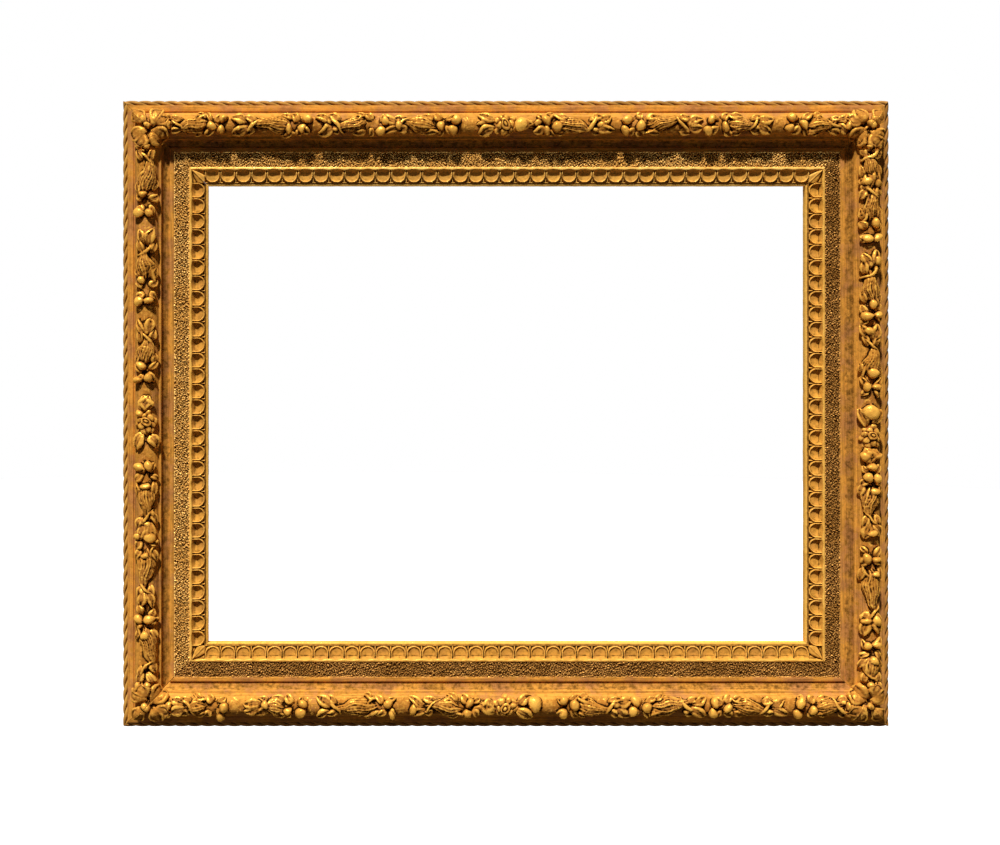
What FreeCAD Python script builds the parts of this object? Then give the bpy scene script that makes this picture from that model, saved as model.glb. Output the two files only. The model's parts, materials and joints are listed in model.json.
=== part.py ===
# Gilded picture frame with a leaf-and-berry torus, a sanded frieze and an egg band.
# Millimetres. The front faces -Y and +Z is up. The origin is the middle of the frame
# on the plane of the carcass's back, so the hangers stand behind it at +Y.
import FreeCAD, Part
import math
import os

Vector = FreeCAD.Vector

# Picture, opening and rail
picture_width = 650.0
picture_height = 500.0
picture_clearance = 1.5
rebate_overlap = 8.0
rail_width = 92.0

# Carcass, in distance from the outer edge and height above the back
side_inset = 2.0
carcass_thickness = 20.0
back_bevel = 1.5
shoulder_drop = 1.0

# Twisted rope edge
rope_radius = 4.2
rope_height = 18.0
rope_seat = 5.5
rope_bury = 0.4

# Torus and cove moulding
edge_fillet_width = 6.7
edge_fillet_height = 24.0
quirk_width = 1.2
quirk_depth = 1.3
hollow_bow = 0.4
torus_radius = 13.5
torus_centre = 29.0
torus_centre_height = 33.5
cove_lip_width = 2.6
cove_lip_height = 39.5
cove_width = 8.2
cove_floor_height = 31.0
cove_fillet_width = 4.5
cove_fillet_height = 33.0

# Sanded frieze
frieze_width = 16.5
frieze_height = 32.5

# Sight moulding with hollowed eggs
sight_fillet_width = 2.6
sight_fillet_height = 33.5
egg_band_width = 13.4
egg_band_outer_height = 33.0
egg_band_inner_height = 29.0
sight_flat_width = 3.1
sight_flat_height = 28.0
egg_pitch = 16.8
egg_width = 13.0
egg_depth = 2.8
egg_margin = 0.8
gouge_sides = 18

# Leaf and berry garland
garland_ground = 0.9
garland_reach = 10.0
garland_bury = 0.8
blade_height = 3.6
blade_width = 5.2
berry_radius = 4.4
berry_rise = 4.2
leaf_unit_clearance = 0.3
bed_sides = 12
berry_sides = 5

# Centre rosettes and corner leaves
rosette_radius = 9.5
rosette_rise = 4.0
rosette_petals = 6
rosette_boss_radius = 3.4
corner_leaf_length = 27.0
corner_leaf_rise = 4.4

# Butterfly keys across the mitres
key_length = 46.0
key_end_width = 20.0
key_waist_width = 9.0
key_thickness = 6.0
key_glue_gap = 0.05

# Turn buttons and their screws
button_length = 30.0
button_width = 10.0
button_tip_width = 6.0
button_thickness = 2.0
button_screw_offset = 12.0
button_spread = 300.0
running_gap = 0.3
pivot_clearance = 0.08
screw_shank_radius = 1.9
screw_head_radius = 3.6
screw_head_height = 2.2
screw_length = 14.0
round_sides = 12

# Strap hangers and D-rings
hanger_height = 120.0
strap_width = 11.0
strap_length = 27.0
strap_thickness = 1.0
strap_screw_drop = 21.5
strap_corner = 2.5
ring_wire_radius = 1.3
ring_half_width = 9.0
ring_leg = 6.0
ring_sides = 6
ring_bend_steps = 10

cut_overrun = 5.0

# Sizes that follow from the ones above
rebate_width = picture_width + 2 * picture_clearance
rebate_height = picture_height + 2 * picture_clearance
sight_width = rebate_width - 2 * rebate_overlap
sight_height = rebate_height - 2 * rebate_overlap
outer_width = sight_width + 2 * rail_width
outer_height = sight_height + 2 * rail_width
rebate_line = rail_width - rebate_overlap
carcass_middle = (side_inset + rebate_line) / 2
rope_ledge = rope_height - rope_radius + rope_bury
torus_top = torus_centre_height + torus_radius
cove_lip_end = torus_centre + math.sqrt(
    torus_radius ** 2 - (cove_lip_height - torus_centre_height) ** 2) + cove_lip_width
cove_end = cove_lip_end + cove_width
frieze_start = cove_end + cove_fillet_width
frieze_end = frieze_start + frieze_width
egg_start = frieze_end + sight_fillet_width
egg_end = egg_start + egg_band_width
drawn_width = egg_end + sight_flat_width
section_scale = rail_width / drawn_width
bed_step = 2 * math.pi / bed_sides
bed_radius = torus_radius / math.cos(bed_step / 2)
pivot_height = strap_thickness + running_gap + ring_wire_radius

os.makedirs("parts", exist_ok=True)


def front_point(along, distance, height):
    """A point of what lies on the carcass's front. Its section is drawn as wide as its members add up
    to, and is scaled to the rail's width about the carcass's outer front edge."""
    return Vector(along, distance * section_scale,
                  carcass_thickness + (height - carcass_thickness) * section_scale)


class Rail:
    """One side of the frame: x runs along it, y inwards from the outer edge, z up from the back."""

    def __init__(self, name, turn, length, span):
        self.name = name
        self.length = length
        along = Vector(math.cos(math.radians(turn)), 0, math.sin(math.radians(turn)))
        inwards = Vector(-along.z, 0, along.x)
        outer_edge = inwards * (-span / 2)
        rotation = FreeCAD.Rotation(along, inwards, Vector(0, -1, 0), "XYZ")
        self.placement = FreeCAD.Placement(outer_edge, rotation)

    def place(self, shape):
        placed = shape.copy()
        placed.Placement = self.placement.multiply(placed.Placement)
        return placed

    def mitre(self, shape):
        """Keep what lies between the two 45 degree mitre planes."""
        half, depth = self.length / 2, rail_width
        corners = [Vector(-half, 0, 0), Vector(half, 0, 0), Vector(half - depth, depth, 0),
                   Vector(depth - half, depth, 0)]
        wedge = prism(corners, Vector(0, 0, front_point(0, 0, torus_top + 2 * berry_rise).z))
        return shape.common(wedge)


def flat(corners):
    return Part.Face(Part.makePolygon(corners + corners[:1]))


def prism(corners, travel):
    """Extrude the closed polygon of the given corners."""
    return flat(corners).extrude(travel)


def round_bar(start, travel, radius, clearance=0):
    """A bar drawn with flats about its axis. With a clearance it is a hole's cutter, whose flats stay
    that far outside a bar of the same radius."""
    along = Vector(travel)
    along.normalize()
    upwards = Vector(0, 0, 1) if abs(along.z) < abs(along.y) + abs(along.x) else Vector(1, 0, 0)
    sideways = along.cross(upwards)
    reach = radius + clearance
    if clearance:
        reach = reach / math.cos(math.pi / round_sides)
    corners = []
    for side in range(round_sides):
        angle = 2 * math.pi * (side + 0.5) / round_sides
        corners.append(start + upwards * (reach * math.cos(angle)) + sideways * (reach * math.sin(angle)))
    return prism(corners, travel)


def faceted(rings, first=None, last=None):
    """A solid of flat facets through rings of as many corners each, closed by a point or a flat end."""
    faces = []
    for ring, following in zip(rings, rings[1:]):
        for here in range(len(ring)):
            after = (here + 1) % len(ring)
            faces.append(flat([ring[here], ring[after], following[after]]))
            faces.append(flat([ring[here], following[after], following[here]]))
    for ring, point in ((rings[0], first), (rings[-1], last)):
        if point is None:
            faces.append(flat(ring))
        else:
            faces += [flat([ring[here - 1], ring[here], point]) for here in range(len(ring))]
    shell = Part.Shell(faces)
    shell.sewShape()
    solid = Part.Solid(shell)
    if solid.Volume < 0:
        solid.reverse()
    return solid


class Outline:
    """A rail's cross-section, drawn as straight runs and arcs in (distance, height)."""

    def __init__(self, distance, height):
        self.start = self.here = self.point(distance, height)
        self.edges = []

    def point(self, distance, height):
        return Vector(0, distance, height)

    def line(self, distance, height):
        there = self.point(distance, height)
        self.edges.append(Part.LineSegment(self.here, there).toShape())
        self.here = there
        return self

    def arc(self, via_distance, via_height, distance, height):
        there = self.point(distance, height)
        via = self.point(via_distance, via_height)
        self.edges.append(Part.Arc(self.here, via, there).toShape())
        self.here = there
        return self

    def run(self, length):
        """Close the section and extrude it along the whole rail, centred."""
        self.edges.append(Part.LineSegment(self.here, self.start).toShape())
        solid = Part.Face(Part.Wire(self.edges)).extrude(Vector(length, 0, 0))
        solid.translate(Vector(-length / 2, 0, 0))
        return solid


class FrontOutline(Outline):
    """The cross-section of a moulding on the carcass's front."""

    def point(self, distance, height):
        return front_point(0, distance, height)


rails = [
    Rail("bottom", 0, outer_width, outer_height),
    Rail("right", 90, outer_height, outer_width),
    Rail("top", 180, outer_width, outer_height),
    Rail("left", 270, outer_height, outer_width),
]
corner_names = ["bottom_right", "top_right", "top_left", "bottom_left"]


def export(shape, name):
    shape.exportStep("parts/" + name + ".step")
    print(name, len(shape.Solids), "solids", round(shape.Volume), "mm3")


def group(solids):
    return solids[0] if len(solids) == 1 else Part.makeCompound(solids)


# Carcass rails

def carcass_section():
    """A flat rail with its back edge bevelled and a notch in front for the rope strip."""
    notch = front_point(0, rope_seat, rope_ledge)
    outline = Outline(side_inset + back_bevel, 0)
    outline.line(rebate_line, 0).line(rebate_line, carcass_thickness)
    outline.line(notch.y, carcass_thickness).line(notch.y, notch.z)
    outline.line(side_inset, notch.z).line(side_inset, back_bevel)
    return outline


def mitre_key(grow):
    """Butterfly key at a rail's right-hand mitre, drawn about the middle of the mitre line."""
    reach = key_length / 2 + grow
    end = key_end_width / 2 + grow
    waist = key_waist_width / 2 + grow
    corners = [Vector(-reach, -end, 0), Vector(0, -waist, 0), Vector(reach, -end, 0),
               Vector(reach, end, 0), Vector(0, waist, 0), Vector(-reach, end, 0)]
    key = prism(corners, Vector(0, 0, key_thickness + grow))
    key.rotate(Vector(0, 0, 0), Vector(0, 0, 1), 45)
    return key


def key_at_corner(index, grow):
    rail = rails[index]
    key = mitre_key(grow)
    key.translate(Vector(rail.length / 2 - carcass_middle, carcass_middle, 0))
    return rail.place(key)


def pilot_holes(points):
    """Holes in the back that the screws' shanks fill, at points on the back plane."""
    return [round_bar(point, Vector(0, -screw_length, 0), screw_shank_radius) for point in points]


def carcass_rail(index, screw_points):
    rail = rails[index]
    body = rail.place(rail.mitre(carcass_section().run(rail.length)))
    keys = [key_at_corner(index, key_glue_gap), key_at_corner(index - 1, key_glue_gap)]
    return body.cut(keys + pilot_holes(screw_points))


# Mouldings glued to the carcass

def torus_section():
    """Edge fillet, quirk, steep hollow, half-round torus, lip, cove and inner fillet."""
    edge_end = rope_seat + edge_fillet_width
    quirk_end = edge_end + quirk_width
    torus_outer = torus_centre - torus_radius
    quirk_floor = edge_fillet_height - quirk_depth
    lip_start = cove_lip_end - cove_lip_width
    hollow_via = (quirk_end + torus_outer) / 2 + hollow_bow
    cove_via = cove_lip_end + cove_width * (1 - math.cos(math.pi / 4))
    cove_via_height = cove_lip_height - (cove_lip_height - cove_floor_height) * math.sin(math.pi / 4)
    outline = FrontOutline(rope_seat, carcass_thickness)
    outline.line(rope_seat, edge_fillet_height - quirk_depth / 2)
    outline.line(edge_end, edge_fillet_height).line(edge_end, quirk_floor).line(quirk_end, quirk_floor)
    outline.arc(hollow_via, (quirk_floor + torus_centre_height) / 2, torus_outer, torus_centre_height)
    outline.arc(torus_centre, torus_top, lip_start, cove_lip_height)
    outline.line(cove_lip_end, cove_lip_height)
    outline.arc(cove_via, cove_via_height, cove_end, cove_floor_height)
    outline.line(cove_end, cove_fillet_height).line(frieze_start, cove_fillet_height)
    outline.line(frieze_start, carcass_thickness)
    return outline


def rope_section():
    """A round bead, flat where it is glued to the side and to its ledge."""
    side_reach = math.sqrt(rope_radius ** 2 - (rope_seat - rope_radius) ** 2)
    ledge_reach = math.sqrt(rope_radius ** 2 - (rope_height - rope_ledge) ** 2)
    outline = FrontOutline(rope_seat, rope_ledge)
    outline.line(rope_seat, rope_height + side_reach)
    outline.arc(0, rope_height, rope_radius - ledge_reach, rope_ledge)
    return outline


def frieze_section():
    outline = FrontOutline(frieze_start, carcass_thickness)
    outline.line(frieze_end, carcass_thickness).line(frieze_end, frieze_height)
    outline.line(frieze_start, frieze_height)
    return outline


def sight_section():
    """Fillet, sloping egg band and smooth sight edge, over the carcass and past it as a lip."""
    shoulder = carcass_thickness - shoulder_drop
    shoulder_line = rebate_line / section_scale
    outline = FrontOutline(frieze_end, carcass_thickness)
    outline.line(shoulder_line, carcass_thickness).line(shoulder_line, shoulder)
    outline.line(drawn_width, shoulder).line(drawn_width, sight_flat_height)
    outline.line(egg_end, sight_flat_height).line(egg_end, egg_band_inner_height)
    outline.line(egg_start, egg_band_outer_height).line(egg_start, sight_fillet_height)
    outline.line(frieze_end, sight_fillet_height)
    return outline


def egg_gouge():
    """A tilted round gouge, drawn with flats, that runs out of the sloping band, so its cut is flat at
    the fillet and round at the other end."""
    gouge_radius = (egg_width ** 2 / 4 + egg_depth ** 2) / (2 * egg_depth)
    slope = (egg_band_inner_height - egg_band_outer_height) / egg_band_width
    start = egg_start + egg_margin
    finish = egg_end - egg_margin
    start_floor = egg_band_outer_height + slope * egg_margin - egg_depth
    finish_floor = egg_band_outer_height + slope * (finish - egg_start)
    along = Vector(0, finish - start, finish_floor - start_floor)
    reach = along.Length
    along.normalize()
    upwards = Vector(0, -along.z, along.y)
    base = Vector(0, start, start_floor) + upwards * gouge_radius
    corners = []
    for side in range(gouge_sides):
        angle = 2 * math.pi * (side + 0.5) / gouge_sides
        corner = base - upwards * (gouge_radius * math.cos(angle))
        corners.append(front_point(gouge_radius * math.sin(angle), corner.y, corner.z))
    return prism(corners, along * (2 * reach * section_scale))


def sight_moulding(rail):
    body = rail.mitre(sight_section().run(rail.length))
    run = rail.length - section_scale * (egg_start + egg_end)
    count = round(run / egg_pitch)
    gouge = egg_gouge()
    cuts = []
    for number in range(count):
        cut = gouge.copy()
        cut.translate(Vector((number + 0.5) * run / count - run / 2, 0, 0))
        cuts.append(cut)
    return body.cut(cuts)


# Composition ornament bedded on the torus

def on_torus(along, across, lift):
    """A point over the torus: along the rail, arc length inwards from the crest, and height over it."""
    angle = across / torus_radius
    radius = torus_radius + lift
    return front_point(along, torus_centre + radius * math.sin(angle),
                       torus_centre_height + radius * math.cos(angle))


def torus_bed(rail):
    """What every ornament is cut to: flats round the torus that touch it, as long as the rail."""
    corners = []
    for side in range(bed_sides):
        angle = side * bed_step
        corners.append(front_point(-rail.length / 2, torus_centre + bed_radius * math.sin(angle),
                                   torus_centre_height + bed_radius * math.cos(angle)))
    return prism(corners, Vector(rail.length, 0, 0))


def ground_strip(start, end):
    """Thin ground of a pressed length, following the torus in flats."""
    steps = [-2, -1, 0, 1, 2]
    reach = bed_step * torus_radius
    outer = [on_torus(start, reach * step, garland_ground) for step in steps]
    inner = [on_torus(start, reach * step, -garland_bury) for step in reversed(steps)]
    return prism(outer + inner, Vector(end - start, 0, 0))


long_blade_shares = [(0.3, 1.0), (0.72, 0.72)]
short_blade_shares = [(0.45, 1.0)]


def blade(start, end, start_across, end_across, width, rise, shares):
    """A ridged leaf: two points joined by triangular sections, each given by its place along the leaf
    and its size."""
    sections = []
    for place_share, width_share in shares:
        along = start + (end - start) * place_share
        across = start_across + (end_across - start_across) * place_share
        half = width * width_share / 2
        sections.append([on_torus(along, across - half, -garland_bury),
                         on_torus(along, across, rise * width_share),
                         on_torus(along, across + half, -garland_bury)])
    first = on_torus(start, start_across, 0)
    last = on_torus(end, end_across, 0)
    return faceted(sections, first, last)


# A berry's tiers, as shares of its radius and of its rise
berry_tier_shares = [(1.0, -0.3), (0.92, 0.45), (0.45, 1.0)]


def berry(along, across, radius, rise):
    """A round berry drawn with flats round it, in two tiers."""
    middle = on_torus(along, across, 0)
    outwards = on_torus(along, across, 1) - middle
    sideways = Vector(1, 0, 0)
    inwards = outwards.cross(sideways)
    rings = []
    for radius_share, rise_share in berry_tier_shares:
        spokes = []
        for side in range(berry_sides):
            angle = 2 * math.pi * side / berry_sides
            spokes.append(sideways * math.cos(angle) + inwards * math.sin(angle))
        centre = middle + outwards * (rise * rise_share)
        rings.append([centre + spoke * (radius * radius_share) for spoke in spokes])
    return faceted(rings)


# One pressed length runs from its berries to the tips of its leaves, as shares of its own length
# along the rail and of the ground's reach across it.
berry_place_shares = [(0.075, -0.55), (0.075, 0.55), (0.2, 0.0)]
bundle_shares = [(0.2, 0.72, -0.78, -0.2), (0.24, 0.76, 0.0, 0.0), (0.2, 0.72, 0.78, 0.2)]
crossing_leaf_shares = [(0.66, 0.97, 0.1, -0.85), (0.66, 0.97, -0.1, 0.85)]


def garland_unit(start, end):
    """A pair of berries, one berry, a bundle of ridged leaves and two crossing leaf tips."""
    direction = 1 if end > start else -1
    first = start + direction * leaf_unit_clearance / 2
    last = end - direction * leaf_unit_clearance / 2
    length = last - first
    reach = garland_reach
    pieces = [ground_strip(min(first, last), max(first, last))]
    for along_share, across_share in berry_place_shares:
        place = first + length * along_share
        pieces.append(berry(place, reach * across_share, berry_radius, berry_rise))
    for begin_share, finish_share, from_share, to_share in bundle_shares:
        pieces.append(blade(first + length * begin_share, first + length * finish_share,
                            reach * from_share, reach * to_share, blade_width, blade_height,
                            long_blade_shares))
    for begin_share, finish_share, from_share, to_share in crossing_leaf_shares:
        pieces.append(blade(first + length * begin_share, first + length * finish_share,
                            reach * from_share, reach * to_share, blade_width, blade_height,
                            short_blade_shares))
    return pieces[0].multiFuse(pieces[1:])


# Where each rail's lengths begin, outwards from its middle along its own direction and then against
# it, as shares of the way to the corner leaf, and where its rosette stands as a share of the same
unit_place_shares = {
    "bottom": ([0.16, 0.37, 0.61, 0.86, 1.0], [0.12, 0.35, 0.62, 0.85, 1.0]),
    "right": ([0.11, 0.38, 0.67, 1.0], [0.24, 0.54, 0.87, 1.0]),
    "top": ([0.16, 0.345, 0.6, 0.85, 1.0], [0.11, 0.35, 0.6, 0.84, 1.0]),
    "left": ([0.19, 0.46, 0.765, 1.0], [0.14, 0.43, 0.765, 1.0]),
}
rosette_place_share = {"bottom": -0.01, "right": -0.08, "top": 0.01, "left": 0.025}

# Width of the leaf beside a rosette as a share of the blade's, and a petal's two sections, as shares
# of its length, its width and its rise
rosette_leaf_share = 2.0
petal_section_shares = [(0.25, 0.4, 0.8), (0.78, 1.0, 1.0)]


def corner_leaf_start(rail):
    """How far from the rail's middle the corner leaves take over from the garland."""
    return rail.length / 2 - torus_centre * section_scale - corner_leaf_length


def garland(rail):
    """The pressed lengths of one rail, each a solid of its own, butted end to end."""
    bed = torus_bed(rail)
    solids = []
    for side, shares in zip((1, -1), unit_place_shares[rail.name]):
        places = [side * corner_leaf_start(rail) * share for share in shares]
        for start, end in zip(places, places[1:]):
            solids.append(garland_unit(start, end).cut(bed))
    return solids


def rosette(rail):
    """A centre ornament: ridged petals round a boss, and a leaf on each side of them."""
    middle = corner_leaf_start(rail) * rosette_place_share[rail.name]
    ends = [side * corner_leaf_start(rail) * shares[0]
            for side, shares in zip((1, -1), unit_place_shares[rail.name])]
    pieces = [ground_strip(ends[1], ends[0]),
              berry(middle, 0, rosette_boss_radius, rosette_rise + rosette_boss_radius / 2)]
    for side, end in zip((1, -1), ends):
        pieces.append(blade(middle + side * rosette_radius / 2, end, 0, 0,
                            blade_width * rosette_leaf_share, blade_height, short_blade_shares))
    for number in range(rosette_petals):
        angle = 2 * math.pi * number / rosette_petals
        pieces.append(petal(middle, rosette_radius * math.cos(angle), rosette_radius * math.sin(angle)))
    return pieces[0].multiFuse(pieces[1:]).cut(torus_bed(rail))


def petal(middle, tip_along, tip_across):
    """A petal from the rosette's middle to its rim, widest near the rim."""
    petal_width = 2 * math.pi * rosette_radius / rosette_petals
    length = math.hypot(tip_along, tip_across)
    side_along, side_across = -tip_across / length, tip_along / length
    sections = []
    for place_share, width_share, rise_share in petal_section_shares:
        along, across = middle + tip_along * place_share, tip_across * place_share
        half = petal_width * width_share / 2
        sections.append([
            on_torus(along - side_along * half, across - side_across * half, -garland_bury),
            on_torus(along, across, rosette_rise * rise_share),
            on_torus(along + side_along * half, across + side_across * half, -garland_bury)])
    return faceted(sections, last=on_torus(middle + tip_along, tip_across, 0))


# Leaves at a mitre, in one rail's half of the corner: begin and end along the rail as shares of the
# leaf's length from the mitre's crossing with the crest, begin and end across as shares of the
# ground's reach, and width as a share of the blade's.
corner_leaf_shares = [
    (-0.3, 0.62, 0.15, -0.9, 2.3),
    (-0.2, 0.98, 0.0, 0.0, 2.6),
    (-0.3, 0.62, -0.1, 0.9, 2.3),
]


def corner_leaf_half(rail, side):
    """One rail's half of the leaf cluster that covers a mitre."""
    crest = side * (rail.length / 2 - torus_centre * section_scale)
    length = -side * corner_leaf_length
    reach = garland_reach
    ground_start = crest + length
    ground_end = side * rail.length / 2
    pieces = [ground_strip(min(ground_start, ground_end), max(ground_start, ground_end))]
    for begin_share, finish_share, from_share, to_share, width_share in corner_leaf_shares:
        pieces.append(blade(crest + length * begin_share, crest + length * finish_share,
                            reach * from_share, reach * to_share,
                            blade_width * width_share, corner_leaf_rise, long_blade_shares))
    leaf = pieces[0].multiFuse(pieces[1:]).cut(torus_bed(rail))
    return rail.place(rail.mitre(leaf))


# Hardware on the back, drawn in the whole frame's place

def screw(point, seat):
    """A cheese-head screw driven at a point, with its head's underside standing at the seat."""
    base = point + Vector(0, seat, 0)
    shank = round_bar(base, Vector(0, -screw_length - seat, 0), screw_shank_radius)
    head = round_bar(base, Vector(0, screw_head_height, 0), screw_head_radius)
    return shank.fuse(head)


def button_stations():
    """Where each turn button's screw stands and which way its parked tip points along the rail."""
    line_x = outer_width / 2 - rebate_line + button_screw_offset
    line_z = outer_height / 2 - rebate_line + button_screw_offset
    half = button_spread / 2
    return [
        (Vector(-half, 0, -line_z), Vector(1, 0, 0)),
        (Vector(half, 0, -line_z), Vector(-1, 0, 0)),
        (Vector(line_x, 0, 0), Vector(0, 0, -1)),
        (Vector(half, 0, line_z), Vector(-1, 0, 0)),
        (Vector(-half, 0, line_z), Vector(1, 0, 0)),
        (Vector(-line_x, 0, 0), Vector(0, 0, -1)),
    ]


# How much of a turn button's end is rounded off, as a share of its half width
button_round_share = 0.5


def turn_button(point, direction):
    """A flat tapered button with a pivot hole, parked along the rail."""
    across = Vector(0, 1, 0).cross(direction)
    root = button_width / 2
    round_off = root * button_round_share
    tip = button_length - root
    half_tip = button_tip_width / 2
    corners = []
    for reach, half in ((-root, round_off), (-round_off, root), (root, root),
                        (tip - round_off, half_tip), (tip, half_tip * button_round_share)):
        corners.append(point + direction * reach + across * half)
    mirrored = [corner - across * (2 * (corner - point).dot(across)) for corner in reversed(corners)]
    plate = prism(corners + mirrored, Vector(0, button_thickness, 0))
    plate.translate(Vector(0, running_gap, 0))
    hole = round_bar(point - Vector(0, cut_overrun, 0), Vector(0, button_thickness + 2 * cut_overrun, 0),
                     screw_shank_radius, pivot_clearance)
    return plate.cut(hole)


def strap(pivot):
    """A strap plate on the wood with its end rolled round the ring's bar."""
    half = strap_width / 2
    bottom = pivot.z - strap_length
    corners = [Vector(-half, 0, pivot.z), Vector(-half, 0, bottom + strap_corner),
               Vector(-half + strap_corner, 0, bottom), Vector(half - strap_corner, 0, bottom),
               Vector(half, 0, bottom + strap_corner), Vector(half, 0, pivot.z)]
    plate = prism([corner + Vector(pivot.x, 0, 0) for corner in corners], Vector(0, strap_thickness, 0))
    roll = round_bar(pivot - Vector(half, 0, 0), Vector(strap_width, 0, 0), ring_wire_radius,
                     pivot_clearance + strap_thickness)
    bore = round_bar(pivot - Vector(half + cut_overrun, 0, 0), Vector(strap_width + 2 * cut_overrun, 0, 0),
                     ring_wire_radius, pivot_clearance)
    hole = round_bar(Vector(pivot.x, -cut_overrun, pivot.z - strap_screw_drop),
                     Vector(0, 2 * cut_overrun, 0), screw_shank_radius)
    return plate.fuse(roll).cut([bore, hole])


def d_ring(pivot):
    """Bent wire: a straight bar in the strap, two legs and a round end, hanging down."""
    centre_line = [Vector(-ring_half_width, 0, 0), Vector(-ring_half_width, 0, -ring_leg)]
    for step in range(1, ring_bend_steps):
        angle = math.pi * step / ring_bend_steps
        centre_line.append(Vector(-ring_half_width * math.cos(angle), 0,
                                  -ring_leg - ring_half_width * math.sin(angle)))
    centre_line += [Vector(ring_half_width, 0, -ring_leg), Vector(ring_half_width, 0, 0)]
    ring = faceted_loop(centre_line, ring_wire_radius, ring_sides)
    ring.translate(pivot)
    return ring


def faceted_loop(centre_line, radius, sides):
    """A closed loop of wire in the XZ plane, mitred at each corner of its centre line."""
    count = len(centre_line)
    rings = []
    for number, corner in enumerate(centre_line):
        before = corner - centre_line[number - 1]
        after = centre_line[(number + 1) % count] - corner
        before.normalize()
        after.normalize()
        bisector = before + after
        bisector.normalize()
        outwards = Vector(bisector.z, 0, -bisector.x)
        stretch = 1 / bisector.dot(after)
        rings.append([corner + outwards * (radius * stretch * math.cos(2 * math.pi * side / sides))
                      + Vector(0, radius * math.sin(2 * math.pi * side / sides), 0)
                      for side in range(sides)])
    faces = []
    for number, ring in enumerate(rings):
        following = rings[(number + 1) % count]
        for side in range(sides):
            neighbour = (side + 1) % sides
            corners = [ring[side], ring[neighbour], following[neighbour], following[side], ring[side]]
            faces.append(Part.Face(Part.makePolygon(corners)))
    solid = Part.Solid(Part.Shell(faces))
    if solid.Volume < 0:
        solid.reverse()
    return solid


# Build every node

stations = button_stations()
strap_x = outer_width / 2 - carcass_middle
hanger_points = {"left": Vector(-strap_x, pivot_height, hanger_height),
                 "right": Vector(strap_x, pivot_height, hanger_height)}
strap_screw_points = {side: Vector(point.x, 0, point.z - strap_screw_drop)
                      for side, point in hanger_points.items()}
rail_screws = {
    "bottom": [stations[0][0], stations[1][0]],
    "right": [stations[2][0], strap_screw_points["right"]],
    "top": [stations[3][0], stations[4][0]],
    "left": [stations[5][0], strap_screw_points["left"]],
}

for index, rail in enumerate(rails):
    export(carcass_rail(index, rail_screws[rail.name]), "carcass_rail_" + rail.name)
    export(rail.place(rail.mitre(torus_section().run(rail.length))), "torus_rail_" + rail.name)
    export(rail.place(rail.mitre(rope_section().run(rail.length))), "rope_strip_" + rail.name)
    export(rail.place(rail.mitre(frieze_section().run(rail.length))), "frieze_slip_" + rail.name)
    export(rail.place(sight_moulding(rail)), "sight_moulding_" + rail.name)
    export(group([rail.place(unit) for unit in garland(rail)]), "garland_" + rail.name)
    export(rail.place(rosette(rail)), "rosette_" + rail.name)

for index, name in enumerate(corner_names):
    export(key_at_corner(index, 0), "mitre_key_" + name)
    halves = [corner_leaf_half(rails[index], 1), corner_leaf_half(rails[(index + 1) % len(rails)], -1)]
    export(group(halves), "corner_leaf_" + name)

for number, (point, direction) in enumerate(stations, start=1):
    export(turn_button(point, direction), "turn_button_" + str(number))
button_seat = running_gap + button_thickness + running_gap
export(group([screw(point, button_seat) for point, direction in stations]), "button_screws")

for side, pivot in hanger_points.items():
    export(strap(pivot), "strap_" + side)
    export(d_ring(pivot), "d_ring_" + side)
export(group([screw(point, strap_thickness) for point in strap_screw_points.values()]), "strap_screws")
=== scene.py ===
"""The gilded picture frame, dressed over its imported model.

Every rail's pieces are shaped on a bench in millimetres, where x runs along the rail, y inwards from
the outer edge and z up from the back. They are then set on the frame, in metres.
"""
import math
import random

import bpy
import numpy as np
from mathutils import Matrix, Vector
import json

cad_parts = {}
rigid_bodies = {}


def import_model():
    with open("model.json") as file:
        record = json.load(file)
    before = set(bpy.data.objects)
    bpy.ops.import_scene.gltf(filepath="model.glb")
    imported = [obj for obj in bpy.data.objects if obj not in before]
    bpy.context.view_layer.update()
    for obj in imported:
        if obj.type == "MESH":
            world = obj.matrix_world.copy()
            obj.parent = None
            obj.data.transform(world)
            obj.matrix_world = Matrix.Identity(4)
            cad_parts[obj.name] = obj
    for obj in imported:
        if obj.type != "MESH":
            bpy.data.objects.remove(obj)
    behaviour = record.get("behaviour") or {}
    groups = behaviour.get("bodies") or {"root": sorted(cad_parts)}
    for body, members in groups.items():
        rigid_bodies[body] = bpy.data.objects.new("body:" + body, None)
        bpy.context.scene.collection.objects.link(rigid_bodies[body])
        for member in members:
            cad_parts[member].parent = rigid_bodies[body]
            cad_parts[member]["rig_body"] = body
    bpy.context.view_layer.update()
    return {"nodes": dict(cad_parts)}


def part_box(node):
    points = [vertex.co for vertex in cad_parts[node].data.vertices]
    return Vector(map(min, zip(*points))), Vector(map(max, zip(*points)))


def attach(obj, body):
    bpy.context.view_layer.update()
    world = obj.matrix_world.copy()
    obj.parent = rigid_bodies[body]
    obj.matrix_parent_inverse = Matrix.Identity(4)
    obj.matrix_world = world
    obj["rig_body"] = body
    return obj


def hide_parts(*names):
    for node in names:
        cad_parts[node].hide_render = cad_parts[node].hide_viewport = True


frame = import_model()

# The frame's sizes in millimetres, as in the model. A pair is a place: inwards, then up.
OUTER = (821.0, 671.0)
RAIL_WIDTH = 92.0
ROPE_CENTRE = (4.2, 18.0)
ROPE_RADIUS = 4.2
ROPE_LAY = 42.3
TORUS_RADIUS = 13.5
TORUS_CENTRE = (29.0, 33.5)
COMPOSITION_WIDTH = 27
CORNER_REACH = 27
SLIP_START, SLIP_END, SLIP_FACE = 56.4, 72.9, 32.4
SAND_GRAIN = 0.62
EGG_START, EGG_END, BAND_WIDTH = 75.5, 88.9, 13.4
BAND_TOP, BAND_FALL = 33.0, 4.0
EGG_PITCH = 16.6
EGG_DEPTH = {"bottom": 3.2, "right": 3.2, "top": 2.1, "left": 3.2}
MITRE_GAP = 0.14
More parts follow.
